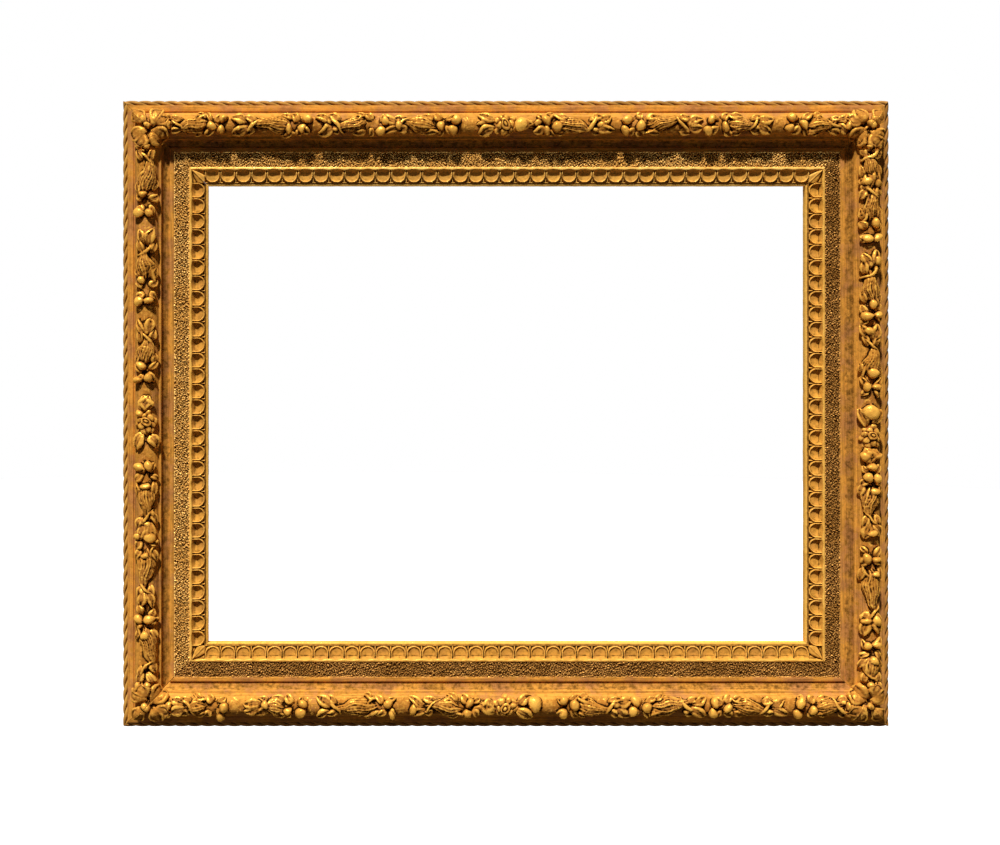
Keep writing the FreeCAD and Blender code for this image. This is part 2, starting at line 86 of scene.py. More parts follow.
# How much further each rail has drawn back where one corner has sprung open: the rail and its end
SPRUNG_JOINT = {("bottom", -1): 0.22, ("left", 1): 0.22}
# Each rail's turn about the frame's middle in degrees, its length, and the frame's width across it
RAILS = {
    "bottom": (0, OUTER[0], OUTER[1]),
    "right": (90, OUTER[1], OUTER[0]),
    "top": (180, OUTER[0], OUTER[1]),
    "left": (270, OUTER[1], OUTER[0]),
}


# Working at the bench

def nothing_selected():
    if bpy.context.mode != "OBJECT":
        bpy.ops.object.mode_set(mode="OBJECT")
    bpy.ops.object.select_all(action="DESELECT")


def take(piece):
    """Make the piece the only one selected."""
    nothing_selected()
    bpy.context.view_layer.objects.active = piece
    piece.select_set(True)
    return piece


def named(name):
    piece = bpy.context.active_object
    piece.name = piece.data.name = name
    return piece


def open_mesh(piece, what="VERT"):
    """Go into the mesh, with all of it selected."""
    take(piece)
    bpy.ops.object.mode_set(mode="EDIT")
    bpy.ops.mesh.select_mode(type=what)
    bpy.ops.mesh.select_all(action="SELECT")


def close_mesh():
    bpy.ops.object.mode_set(mode="OBJECT")


def close_outwards():
    """Turn every face outwards and leave the mesh."""
    bpy.ops.mesh.select_all(action="SELECT")
    bpy.ops.mesh.normals_make_consistent(inside=False)
    close_mesh()


def brought_in(name, data):
    piece = bpy.data.objects.new(name, data)
    bpy.context.scene.collection.objects.link(piece)
    return piece


def choose(piece, kind, chosen):
    """Select the vertices or faces that the test picks out, in an open mesh."""
    bpy.ops.mesh.select_all(action="DESELECT")
    close_mesh()
    for element in getattr(piece.data, kind):
        element.select = chosen(element)
    bpy.ops.object.mode_set(mode="EDIT")


def finish_with(piece, kind, **settings):
    """Put one modifier on the piece and apply it."""
    take(piece)
    modifier = piece.modifiers.new(kind.title(), kind)
    for key, value in settings.items():
        setattr(modifier, key, value)
    bpy.ops.object.modifier_apply(modifier=modifier.name)


def copy_of(master, matrix):
    """A copy with its own mesh, moved by the matrix."""
    twin = master.copy()
    twin.data = master.data.copy()
    bpy.context.scene.collection.objects.link(twin)
    twin.data.transform(matrix)
    if matrix.determinant() < 0:
        twin.data.flip_normals()
    return twin


def joined(pieces, name):
    nothing_selected()
    for piece in pieces:
        piece.select_set(True)
    bpy.context.view_layer.objects.active = pieces[0]
    if len(pieces) > 1:
        bpy.ops.object.join()
    return named(name)


def put_away(*masters):
    for master in masters:
        bpy.data.objects.remove(master)


def places(piece):
    flat = np.empty(len(piece.data.vertices) * 3)
    piece.data.vertices.foreach_get("co", flat)
    return flat.reshape(-1, 3)


def move_to(piece, points):
    piece.data.vertices.foreach_set("co", np.ascontiguousarray(points, dtype=np.float32).ravel())
    piece.data.update()


def note(piece, name, values):
    """Write one number or one vector for each vertex."""
    kind = "FLOAT" if values.ndim == 1 else "FLOAT_VECTOR"
    layer = piece.data.attributes.new(name, kind, "POINT")
    field = "value" if kind == "FLOAT" else "vector"
    layer.data.foreach_set(field, values.astype(np.float32).ravel())


def spread(piece, values, rounds):
    """Each vertex takes the mean of itself and its neighbours, many times over."""
    edges = np.empty(len(piece.data.edges) * 2, dtype=np.int64)
    piece.data.edges.foreach_get("vertices", edges)
    a, b = edges.reshape(-1, 2).T
    count = len(values)
    share = 1 + np.bincount(a, minlength=count) + np.bincount(b, minlength=count)
    for _ in range(rounds):
        values = (values + np.bincount(a, values[b], count) + np.bincount(b, values[a], count)) / share
    return values


def note_relief(piece, fine, broad, reach, sharp=1.0):
    """How far each vertex stands out of its surroundings: 0 deep in a hollow, 1 on a ridge.

    The surroundings are the means after a few rounds (fine) and many (broad), reach is the height in
    millimetres that makes a full hollow, and sharp is how much the fine mean counts.
    """
    points = places(piece)
    normals = np.empty(len(points) * 3)
    piece.data.vertices.foreach_get("normal", normals)
    normals = normals.reshape(-1, 3)
    total = np.zeros(len(points))
    for rounds, weight in ((fine, sharp), (broad, 0.6)):
        mean = np.stack([spread(piece, points[:, axis].copy(), rounds) for axis in range(3)], axis=1)
        total += weight * np.einsum("ij,ij->i", points - mean, normals)
    total = np.where(total > 0, total / 2.2, total)
    note(piece, "relief", np.clip(0.5 + total / reach, 0, 1))


def set_on_rail(piece, rail, finish, slot, *nodes):
    """Carry the finished piece from the bench to its rail, as the model's own nodes lie."""
    turn, length, span = RAILS[rail]
    turn = math.radians(turn)
    along = Vector((math.cos(turn), 0, math.sin(turn)))
    inwards = Vector((-along.z, 0, along.x))
    note(piece, "bench", places(piece) / 1000)
    frame_of_rail = Matrix((along, inwards, Vector((0, -1, 0)))).transposed().to_4x4()
    frame_of_rail.translation = inwards * (-span / 2)
    piece.data.transform(Matrix.Scale(0.001, 4) @ frame_of_rail)
    piece.data.materials.clear()
    piece.data.materials.append(finish)
    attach(piece, "frame")
    if nodes:
        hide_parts(*nodes)
    return piece


def sawn_off(along, facing, slack=0.0001):
    """Saw off all that lies beyond the cut, and close it."""
    bpy.ops.mesh.select_all(action="SELECT")
    bpy.ops.mesh.bisect(plane_co=(along, 0, 0), plane_no=facing, use_fill=True, clear_outer=True,
                        threshold=slack)


def mitre(piece, rail, gap=0.0, sprung=False):
    """Saw both ends at 45 degrees and close the cuts."""
    open_mesh(piece)
    for side in (1, -1):
        drawn_back = SPRUNG_JOINT.get((rail, side), 0) if sprung else 0
        half = RAILS[rail][1] / 2 - gap - drawn_back
        sawn_off(side * half, (side, 1, 0), 0.0005)
    close_mesh()


# Mouldings

def drawn_section(name, start, steps):
    """A moulding's section, drawn by pulling one point along straight runs and round arcs."""
    nothing_selected()
    bpy.ops.mesh.primitive_plane_add(size=1, location=(0, 0, 0))
    section = named(name)
    open_mesh(section)
    bpy.ops.mesh.merge(type="CENTER")
    bpy.ops.transform.translate(value=(0, start[0], start[1]))
    here = start
    for step in steps:
        if len(step) == 2:
            stops = [step]
        else:
            centre, turn, count = step[:2], math.radians(step[2]), step[3]
            reach = math.dist(here, centre)
            first = math.atan2(here[1] - centre[1], here[0] - centre[0])
            stops = [(centre[0] + reach * math.cos(first + turn * (stop + 1) / count),
                      centre[1] + reach * math.sin(first + turn * (stop + 1) / count))
                     for stop in range(count)]
        for stop in stops:
            bpy.ops.mesh.extrude_vertices_move(
                TRANSFORM_OT_translate={"value": (0, stop[0] - here[0], stop[1] - here[1])})
            here = stop
    bpy.ops.mesh.select_all(action="SELECT")
    bpy.ops.mesh.remove_doubles(threshold=0.001)
    bpy.ops.mesh.edge_face_add()
    close_mesh()
    return section


def soften_corners(section, offset, sharpest=25):
    """Round the section's corners a little, as gesso does."""
    outline = [section.data.vertices[index].co.copy() for index in section.data.polygons[0].vertices]
    corners = []
    for index, point in enumerate(outline):
        before = point - outline[index - 1]
        after = outline[(index + 1) % len(outline)] - point
        if math.degrees(before.angle(after)) > sharpest:
            corners.append(point)
    open_mesh(section)
    choose(section, "vertices", lambda v: any((v.co - corner).length < 0.01 for corner in corners))
    bpy.ops.mesh.bevel(offset=offset, segments=2, affect="VERTICES", clamp_overlap=True)
    close_mesh()


def run_along(section, rail, step):
    """Pull the section along the rail in short equal lengths."""
    length = RAILS[rail][1] + 2 * step
    count = round(length / step)
    open_mesh(section)
    bpy.ops.mesh.delete(type="ONLY_FACE")
    bpy.ops.mesh.select_all(action="SELECT")
    bpy.ops.transform.translate(value=(-length / 2, 0, 0))
    bpy.ops.mesh.extrude_region_move(TRANSFORM_OT_translate={"value": (length / count, 0, 0)})
    close_mesh()
    finish_with(section, "ARRAY", count=count, use_relative_offset=False, use_constant_offset=True,
                constant_offset_displace=(length / count, 0, 0), use_merge_vertices=True,
                merge_threshold=0.001)
    open_mesh(section)
    close_outwards()
    return section


def roughened(piece, name, size, strength, depth=2):
    """Push the surface in and out by a cloudy unevenness of the given size."""
    cloud = bpy.data.textures.new(name, "CLOUDS")
    cloud.noise_scale = size
    cloud.noise_depth = depth
    finish_with(piece, "DISPLACE", texture=cloud, texture_coords="LOCAL", strength=strength,
                mid_level=0.5)


def smooth_over(piece, degrees):
    take(piece)
    bpy.ops.object.shade_smooth_by_angle(angle=math.radians(degrees))


def torus_moulding(rail, finish):
    section = drawn_section("torus_and_cove_" + rail, (5.5, 20), [
        (5.5, 23.35), (12.2, 24.0), (12.2, 22.7), (13.4, 22.7), (14.75, 26.1), (15.4, 29.8),
        (15.5, 33.5), (*TORUS_CENTRE, -153.6, 40),
        (43.7, 39.5), (44.33, 36.25), (46.1, 33.5), (48.8, 31.65), (51.9, 31.0),
        (51.9, 33.0), (56.4, 33.0), (56.4, 20)])
    soften_corners(section, 0.35)
    piece = run_along(section, rail, 3.7)
    mitre(piece, rail, MITRE_GAP, sprung=True)
    roughened(piece, "hand_planing", 26, 0.5)
    smooth_over(piece, 32)
    note_relief(piece, 1, 3, 4.0)
    return set_on_rail(piece, rail, finish, "gilt_moulding", "torus_rail_" + rail)


def rope_edge(rail, finish):
    """Three strands laid up as a rope, its seat flat where it is glued on."""
    nothing_selected()
    bpy.ops.mesh.primitive_circle_add(vertices=24, radius=ROPE_RADIUS, fill_type="NGON",
                                      rotation=(0, math.pi / 2, 0))
    piece = named("rope_edge_" + rail)
    bpy.ops.object.transform_apply(location=False)
    points = places(piece)
    angle = np.arctan2(points[:, 2], points[:, 1])
    lobe = 1 - 0.5 * (1 - np.abs(np.cos(1.5 * angle))) ** 1.7
    move_to(piece, points * lobe[:, None])
    length = RAILS[rail][1]
    count = round(length / 2.4)
    run_along(piece, rail, length / count)
    finish_with(piece, "SIMPLE_DEFORM", deform_method="TWIST", deform_axis="X",
                angle=2 * math.pi * (length + 2 * length / count) / ROPE_LAY)
    points = places(piece) + np.array([0, *ROPE_CENTRE])
    glued_side, glued_back = 5.5, 14.2
    points[:, 1] = np.minimum(points[:, 1], glued_side)
    points[:, 2] = np.maximum(points[:, 2], glued_back)
    move_to(piece, points)
    mitre(piece, rail)
    smooth_over(piece, 60)
    note_relief(piece, 3, 10, 0.85)
    return set_on_rail(piece, rail, finish, "gilt_moulding", "rope_strip_" + rail)


def sanded_frieze(rail, finish):
    """The slip's face is crusted with grains of sand under the gilding."""
    nothing_selected()
    length = RAILS[rail][1]
    width, middle, sand_level = 16.5, 64.65, 32.5
    bpy.ops.mesh.primitive_grid_add(x_subdivisions=round(length / SAND_GRAIN), y_subdivisions=27, size=1,
                                    location=(0, 0, 0))
    piece = named("sanded_slip_" + rail)
    move_to(piece, places(piece) * np.array([length, width, 1]) + np.array([0, middle, sand_level]))
    roughened(piece, "sand", 1.0, 3.0, 0)
    roughened(piece, "sand_drifts", 6.5, 0.3, 1)
    points = places(piece)
    edge = np.minimum(points[:, 1] - SLIP_START, SLIP_END - points[:, 1])
    points[:, 2] = SLIP_FACE + (points[:, 2] - sand_level) * np.clip(edge / 0.6, 0.15, 1)
    points[:, 1] = np.clip(points[:, 1], SLIP_START, SLIP_END)
    move_to(piece, points)
    open_mesh(piece, "EDGE")
    bpy.ops.mesh.region_to_loop()
    back = (0, 0, 20)
    bpy.ops.mesh.extrude_region_move(TRANSFORM_OT_translate={"value": back})
    bpy.ops.transform.resize(value=(1, 1, 0), center_override=back)
    bpy.ops.mesh.edge_face_add()
    close_outwards()
    mitre(piece, rail, MITRE_GAP, sprung=True)
    smooth_over(piece, 70)
    note_relief(piece, 1, 4, 0.75)
    return set_on_rail(piece, rail, finish, "gilt_sand", "frieze_slip_" + rail)


def faded(across):
    """1 over the band, falling to 0 at the fillet and at the sight edge."""
    return np.clip(across / 0.7, 0, 1) * np.clip((BAND_WIDTH - across) / 0.7, 0, 1)


def egg_relief(along, across, depth):
    """Height over the band of one hollowed egg: along from its middle, across from the fillet."""
    half_width, round_from, dart_at = 7.2, 5.4, 8.24
    reach = np.where(across < round_from, np.abs(along), np.hypot(along, across - round_from))
    inside = half_width - reach
    share = np.clip(reach / half_width, 0, 1)
    tilt = np.interp(across, [0.0, 0.9, 2.8, 12.7], [0.0, 0.5, 1.0, 0.3])
    bowl = np.where(inside > 0, -depth * (1 - share ** 2) ** 0.7 * tilt, 0)
    rim = 1.1 * np.exp(-((inside + 0.15) / 0.7) ** 2)
    spandrel = np.where(inside < 0, -1.7 * np.clip(-inside / 1.5, 0, 1), 0)
    side = dart_at - np.abs(along)
    dart = 2.0 * np.exp(-(side / 0.6) ** 2) * np.clip((across - 6.5) / 4, 0, 1)
    hole = -2.3 * np.exp(-((side / 1.1) ** 2 + ((across - 1.6) / 1.3) ** 2))
    return (bowl + rim + spandrel + dart + hole) * faded(across)


def corner_leaf_relief(from_mitre, across):
    """Height over the band of half a small leaf that lies on the mitre, with a rib along the cut."""
    half_width = 0.1 + 5.6 * np.sin(math.pi * np.clip(across / BAND_WIDTH, 0.02, 0.98)) ** 0.8
    swell = 2.2 * np.sqrt(np.clip(1 - (from_mitre / half_width) ** 2, 0, 1)) - 1.0
    leaf = np.where(from_mitre < half_width, swell, -1.6)
    leaf += 0.8 * np.exp(-(from_mitre / 0.7) ** 2)
    return leaf * faded(across)


def egg_moulding(rail, finish):
    """Fillet, hollowed eggs and smooth sight edge, run as one length and carved, with a waved fillet."""
    length = RAILS[rail][1]
    run = length - 2 * EGG_END
    pitch = run / round(run / EGG_PITCH)
    rows = 24
    band = [(EGG_START + BAND_WIDTH * row / rows, BAND_TOP - BAND_FALL * row / rows)
            for row in range(1, rows)]
    section = drawn_section("egg_band_" + rail, (SLIP_END, 20), [
        (SLIP_END, 33.2), (73.3, 33.6), (74.2, 33.75), (75.1, 33.6), (EGG_START, BAND_TOP), *band,
        (EGG_END, BAND_TOP - BAND_FALL), (89.1, 28.1), (91.6, 28.0), (RAIL_WIDTH, 27.6),
        (RAIL_WIDTH, 19), (84.0, 19), (84.0, 20)])
    piece = run_along(section, rail, pitch / 32)
    points = places(piece)
    along = (points[:, 0] + run / 2) / pitch
    along = (along - np.floor(along) - 0.5) * pitch
    across = points[:, 1] - EGG_START
    on_band = (across > 0.05) & (across < 13.35) & (points[:, 2] > 28.2)
    from_mitre = (length / 2 - points[:, 1] - np.abs(points[:, 0])) / math.sqrt(2)
    carved = np.where(np.abs(points[:, 0]) > run / 2, corner_leaf_relief(from_mitre, across),
                      egg_relief(along, across, EGG_DEPTH[rail]))
    points[:, 2] += np.where(on_band, carved, 0)
    wave = 0.4 * np.cos((points[:, 0] + run / 2) * 2 * math.pi / pitch)
    points[:, 1] += np.where((points[:, 2] > 32.9) & (across < 0.1) & (across > -2), wave, 0)
    move_to(piece, points)
    mitre(piece, rail, MITRE_GAP)
    roughened(piece, "carving", 6, 0.5)
    smooth_over(piece, 50)
    note_relief(piece, 2, 7, 1.3)
    return set_on_rail(piece, rail, finish, "gilt_sight", "sight_moulding_" + rail)


# Composition ornament, shaped flat and then bedded on the torus

def pulled(name, stations, sides=8):
    """A stem pulled from a small ring, by stations: along, across, lift, half width, half height."""
    nothing_selected()
    along, across, lift, width, height = stations[0]
    bpy.ops.mesh.primitive_circle_add(vertices=sides, radius=1, fill_type="NGON",
                                      location=(along, across, lift), rotation=(0, math.pi / 2, 0))
    bpy.ops.object.transform_apply()
    stem = named(name)
    open_mesh(stem, "FACE")
    bpy.ops.transform.resize(value=(1, width, height), center_override=(along, across, lift))
    for station in stations[1:]:
        shift = [station[axis] - value for axis, value in enumerate((along, across, lift))]
        bpy.ops.mesh.extrude_region_move(TRANSFORM_OT_translate={"value": shift})
        bpy.ops.transform.resize(value=(1, station[3] / width, station[4] / height),
                                 center_override=station[:3])
        along, across, lift, width, height = station
    close_outwards()
    finish_with(stem, "SUBSURF", levels=1, render_levels=1)
    return stem


def ball(name, place, size):
    """A ball, drawn out to its three half sizes."""
    nothing_selected()
    bpy.ops.mesh.primitive_uv_sphere_add(segments=16, ring_count=10, radius=1, location=place)
    piece = named(name)
    piece.scale = size
    bpy.ops.object.transform_apply()
    return piece


def berry_form():
    """A berry of radius 1, a little higher than it is wide."""
    return ball("berry", (0, 0, 0.12), (1, 1, 1.05))


def sheaf_form(number):
    """Long blades laid together, 36 long: broad behind the berry, drawn in to a stem."""
    chance = random.Random(number)
    blades = []
    for blade in range(-4, 5):
        lean = blade / 4
        begin = 1.0 + 3.0 * abs(lean) + chance.uniform(-1.2, 1.2)
        end = 38 - 8.0 * abs(lean) - chance.uniform(0, 5)
        crown = 2.9 - 2.1 * lean * lean + chance.uniform(-0.6, 0.7)
        sway = chance.uniform(-0.7, 0.7)
        blades.append(pulled("blade", [
            (begin, 5.5 * lean, 0.2, 0.25, 0.3),
            (begin + 4, 8.8 * lean + sway, 0.4 + crown * 0.6, 1.1, 1.6),
            (begin + 0.4 * (end - begin), 9.8 * lean - sway, 0.4 + crown, 1.15, 2.2),
            (begin + 0.75 * (end - begin), 6.8 * lean + sway, 0.3 + crown * 0.7, 1.0, 1.8),
            (end, 3.0 * lean + 1.5 * sway, 0.4, 0.3, 0.5)]))
    body = ball("sheaf_body", (17, 0, -0.5), (15, 8.2, 1.3))
    return joined([body] + blades, "sheaf_%d" % number)


def leaf_form():
    """A pointed leaf, 14 long, its two halves curling up beside a sunk rib."""
    half = pulled("leaf", [
        (0, 0.6, 0.1, 0.5, 0.5), (2.5, 2.0, 1.0, 1.6, 1.6), (6, 3.0, 1.7, 2.3, 2.1),
        (10, 2.3, 1.8, 1.8, 1.7), (14, 0.4, 1.1, 0.35, 0.6)])
    other = copy_of(half, Matrix.Scale(-1, 4, (0, 1, 0)))
    return joined([half, other, ball("midrib", (6.5, 0, 0.9), (5.5, 2.2, 1.9))], "leaf")


def bud_form():
    """A closed bud, 11 long, with a bent tip."""
    return pulled("bud", [
        (0, 0, 0.6, 0.6, 0.6), (1.5, 0, 0.9, 2.3, 1.9), (4, 0, 1.1, 2.9, 2.5),
        (7, 0.3, 0.9, 1.9, 1.7), (11, 1.0, 0.5, 0.35, 0.4)])


def ribbon_form():
    """A stem that crosses its neighbours with a slow bend."""
    return pulled("ribbon", [
        (-14, 2.2, 0.2, 0.6, 0.6), (-9, 0.4, 2.2, 1.3, 1.3), (-3, -1.0, 3.3, 1.6, 1.5),
        (3, -0.8, 3.2, 1.6, 1.5), (9, 0.8, 2.0, 1.2, 1.3), (14, 3.0, 0.3, 0.5, 0.6)])


def rose_form():
    """A ringed boss inside two rows of petals, 24 across."""
    nothing_selected()
    bpy.ops.mesh.primitive_torus_add(major_segments=24, minor_segments=10, major_radius=3.6,
                                     minor_radius=1.2, location=(0, 0, 3.6))
    bpy.ops.object.transform_apply()
    parts = [named("ring"), ball("boss", (0, 0, 3.4), (1.9, 1.9, 1.9)),
             ball("bed", (0, 0, 0), (7, 7, 3.0))]
    petal = ball("petal", (0, 0, 0), (3.2, 3.3, 2.2))
    for number in range(6):
        angle = 2 * math.pi * number / 6 + 0.2
        for turn, place in ((angle, (6.8, 0, 1.6)), (angle + 0.5, (9.8, 0, 0.4))):
            parts.append(copy_of(petal, Matrix.Rotation(turn, 4, "Z") @ Matrix.Translation(place)))
    put_away(petal)
    return joined(parts, "rose")


def lobe_form():
    """A dished corner petal, 18 long, pointed at its root, its rim rolled up round a hollow."""
    half = pulled("lobe", [
        (0, 0.4, 0.5, 0.6, 0.8), (4, 2.0, 1.4, 1.5, 1.7), (9, 3.8, 2.4, 1.6, 2.0),
        (14, 3.9, 2.7, 1.7, 1.9), (17.2, 2.3, 2.3, 1.7, 1.5), (18.4, 0.3, 1.9, 1.2, 1.2)])
    other = copy_of(half, Matrix.Scale(-1, 4, (0, 1, 0)))
    return joined([half, other, ball("dish", (9.8, 0, 1.5), (8.3, 4.8, 2.3))], "lobe")


# Where the ornaments lie, in millimetres along the rail from its middle and inwards from the crest.
# A sheaf runs from its broad end to its stem, and a bud has a heading in degrees.
SHEAVES = {
    "bottom": [(73, 111), (152, 192), (236, 273), (324, 351), (-51, -85), (-140, -187), (-235, -259),
               (-320, -340)],
    "right": [(42, 78), (117, 154), (205, 238), (251, 277), (-75, -111), (-160, -213), (-255, -276)],
    "top": [(77, 114), (150, 183), (228, 272), (319, 352), (-49, -91), (-145, -185), (-234, -260),
            (-318, -344)],
    "left": [(-56, -84), (-144, -178), (-235, -275), (72, 111), (140, 184), (223, 268)],
}
BERRIES = {
    "bottom": [(-300, -1), (-303, -11), (-257, 2), (-232, -4), (-217, 3), (-219, -7), (-126, 3),
               (-123, -8), (-101, -2), (-41, 4), (-43, -7), (59, 6), (57, -8), (70, 1), (134, 6),
               (130, -4), (146, -1), (218, 4), (215, -6), (231, -1), (307, 4), (305, -7), (320, -3)],
    "right": [(246, 5), (245, -6), (203, -4), (187, 3), (187, -6), (164, -6), (118, -2), (105, 4),
              (105, -6), (88, 1), (45, -2), (31, 4), (29, -6), (-43, 5), (-43, -6), (-55, -1), (-66, 4),
              (-66, -7), (-80, -3), (-123, 0), (-151, 4), (-151, -6), (-168, -3), (-217, 5), (-216, -5),
              (-242, 3), (-242, -6), (-258, -2)],
    "top": [(56, -4), (58, 6), (71, 2), (116, 1), (130, -4), (134, 6), (212, -6), (217, 4), (232, 4),
            (300, -6), (303, 5), (313, 1), (-40, -3), (-40, 6), (-52, 2), (-125, -4), (-123, 7),
            (-139, 1), (-213, -5), (-211, 7), (-228, 2), (-299, -7), (-295, 4), (-311, 1)],
    "left": [(-233, -3), (-213, -8), (-214, 2), (-142, -4), (-121, -7), (-121, 2), (-53, -4), (-38, -9),
             (-39, 2), (-3, -7), (55, -8), (53, 2), (75, -1), (128, -8), (128, 4), (147, -1), (214, -7),
             (214, 3), (232, -1)],
}
BIG_BERRIES = {"bottom": [(28, 2)], "right": [(3, 0)], "top": [(-14, 0)], "left": []}
ROSES = {"bottom": -3, "right": -22, "top": 3.5, "left": 7}
BUDS = {
    "bottom": [(-143, -6, 0), (-29, -1, 180), (113, 1, 0), (189, -5, 0), (282, 2, 0)],
    "right": [(85, 0, 0), (160, 2, 0), (-116, 3, 180)],
    "top": [(189, -3, 0), (113, -7, 0), (-98, 0, 180), (-191, -2, 180), (26, -2, 0), (-30, -1, 180)],
    "left": [(104, 6, 0), (116, 0, 0), (185, -5, 0), (-90, 0, 180)],
}


def planted(master, along, across, heading=0.0, length=1.0, width=1.0, rise=1.0, lift=0.0):
    """A copy of an ornament, set at its spot, turned to its heading in degrees and scaled."""
    move = Matrix.Translation((along, across, lift)) @ Matrix.Rotation(math.radians(heading), 4, "Z")
    return copy_of(master, move @ Matrix.Diagonal((length, width, rise, 1)))


def bedded(piece):
    """Wrap a piece that was shaped flat over the torus."""
    points = places(piece)
    angle = points[:, 1] / TORUS_RADIUS
    radius = TORUS_RADIUS + points[:, 2]
    points = np.stack([points[:, 0], TORUS_CENTRE[0] + radius * np.sin(angle),
                       TORUS_CENTRE[1] + radius * np.cos(angle)], axis=1)
    move_to(piece, points)


def wavered(piece, phase):
    """Let a pressing go a little astray, as soft composition does under the fingers."""
    points = places(piece)
    x, y = points[:, 0].copy(), points[:, 1].copy()
    points[:, 0] += (1.0 * np.sin(x / 6.1 + y / 4.3 + phase)
                     + 0.6 * np.sin(x / 2.9 - y / 3.7 + 2 * phase))
    points[:, 1] += (0.9 * np.sin(x / 7.3 - y / 5.1 + 3 * phase)
                     + 0.5 * np.sin(x / 3.3 + y / 4.7 + phase))
    move_to(piece, points)


def pressed(parts, name, voxel, keep, phase=0.0):
    """One pressing: its parts run together, are a little worn, and keep the faces that they need."""
    piece = joined(parts, name)
    finish_with(piece, "REMESH", mode="VOXEL", voxel_size=voxel, adaptivity=0)
    roughened(piece, "worn_mould", 3.2, 0.7)
    finish_with(piece, "DECIMATE", ratio=keep)
    wavered(piece, phase)
    return piece


def flat_ground(start, end):
    """The thin sheet of composition that the ornaments stand on."""
    nothing_selected()
    bpy.ops.mesh.primitive_cube_add(size=1, location=((start + end) / 2, 0, -0.6),
                                    scale=(abs(end - start), COMPOSITION_WIDTH, 1.4))
    ground = named("ground")
    bpy.ops.object.transform_apply()
    open_mesh(ground)
    bpy.ops.mesh.subdivide(number_cuts=9)
    close_mesh()
    points = places(ground)
    points[:, 2] -= np.where(points[:, 2] > 0, 0.6 * (points[:, 1] / 12.5) ** 4, 0)
    move_to(ground, points)
    return ground


def garland(rail, forms, finish):
    """The rail's length of composition: sheaves in their leaves, berries, buds and crossing ribbons."""
    berry, sheaves, leaf, bud, ribbon = forms
    end = RAILS[rail][1] / 2 - TORUS_CENTRE[0] - CORNER_REACH
    parts = [flat_ground(-end - 4, end + 4)]
    chance = random.Random(len(rail))
    for number, (near, far) in enumerate(SHEAVES[rail]):
        out = 1 if far > near else -1
        heading = 0 if out > 0 else 180
        bend = -1 if number % 2 else 1
        tilt = bend * chance.uniform(4, 11)
        parts.append(planted(sheaves[number % 3], near - 2 * out, 1.5 * bend * out, heading - tilt,
                             abs(far - near + 6 * out) / 36, 0.88))
        parts.append(planted(ribbon, far - 3 * out, 0, heading + bend * chance.uniform(30, 50)))
        parts.append(planted(ribbon, near + 4 * out, 6 * bend * out, heading - bend * 22, 0.9, 0.8, 0.9))
        for side in (1, -1):
            sweep = out * side
            for along, across, turned, long, wide, high in (
                    (far + 1 * out, 2.5, 15, 1.35, 1.1, 1.25), (far - 7 * out, 5.2, 12, 1.0, 0.9, 1.0),
                    (near - 1 * out, 7.2, 12, 1.0, 0.8, 1.0), (near - 9 * out, 4.2, 42, 0.8, 0.9, 1.1),
                    (near - 12 * out, 3.5, 148, 0.8, 0.8, 1.1)):
                parts.append(planted(leaf, along + chance.uniform(-2, 2), side * across,
                                     heading + sweep * (turned + chance.uniform(-9, 9)),
                                     long, wide, high + chance.uniform(-0.1, 0.25)))
    for along, across in BERRIES[rail]:
        size = chance.uniform(4.5, 5.1)
        parts.append(planted(berry, along, across, 0, size, size, size, 0.6))
    for along, across in BIG_BERRIES[rail]:
        parts.append(planted(berry, along, across, 0, 7.6, 7.6, 5.2, 0.3))
    for along, across, heading in BUDS[rail]:
        root = along - 5 * math.cos(math.radians(heading))
        parts.append(planted(bud, root, across, heading, 1.2, 1.3, 1.2))
    for side in (1, -1):
        start = ROSES[rail] + 11 * side
        heading = 0 if side > 0 else 180
        for tilt in (20, -20):
            parts.append(planted(leaf, start, tilt / 5, heading + tilt, 1.4, 1.3, 1.3))
    piece = pressed(parts, "leaf_and_berry_" + rail, 0.6, 0.5, len(rail))
    open_mesh(piece)
    for side in (1, -1):
        sawn_off(side * end, (side, 0, 0))
    close_mesh()
    bedded(piece)
    smooth_over(piece, 180)
    note_relief(piece, 4, 26, 1.3, 2.4)
    return set_on_rail(piece, rail, finish, "gilt_composition", "garland_" + rail)


def centre_rose(rail, rose, finish):
    """The ringed rose near the middle of a rail."""
    piece = pressed([planted(rose, ROSES[rail], 0)], "centre_rose_" + rail, 0.4, 0.5, len(rail))
    bedded(piece)
    smooth_over(piece, 180)
    note_relief(piece, 5, 26, 1.3, 2.2)
    return set_on_rail(piece, rail, finish, "gilt_composition", "rosette_" + rail)


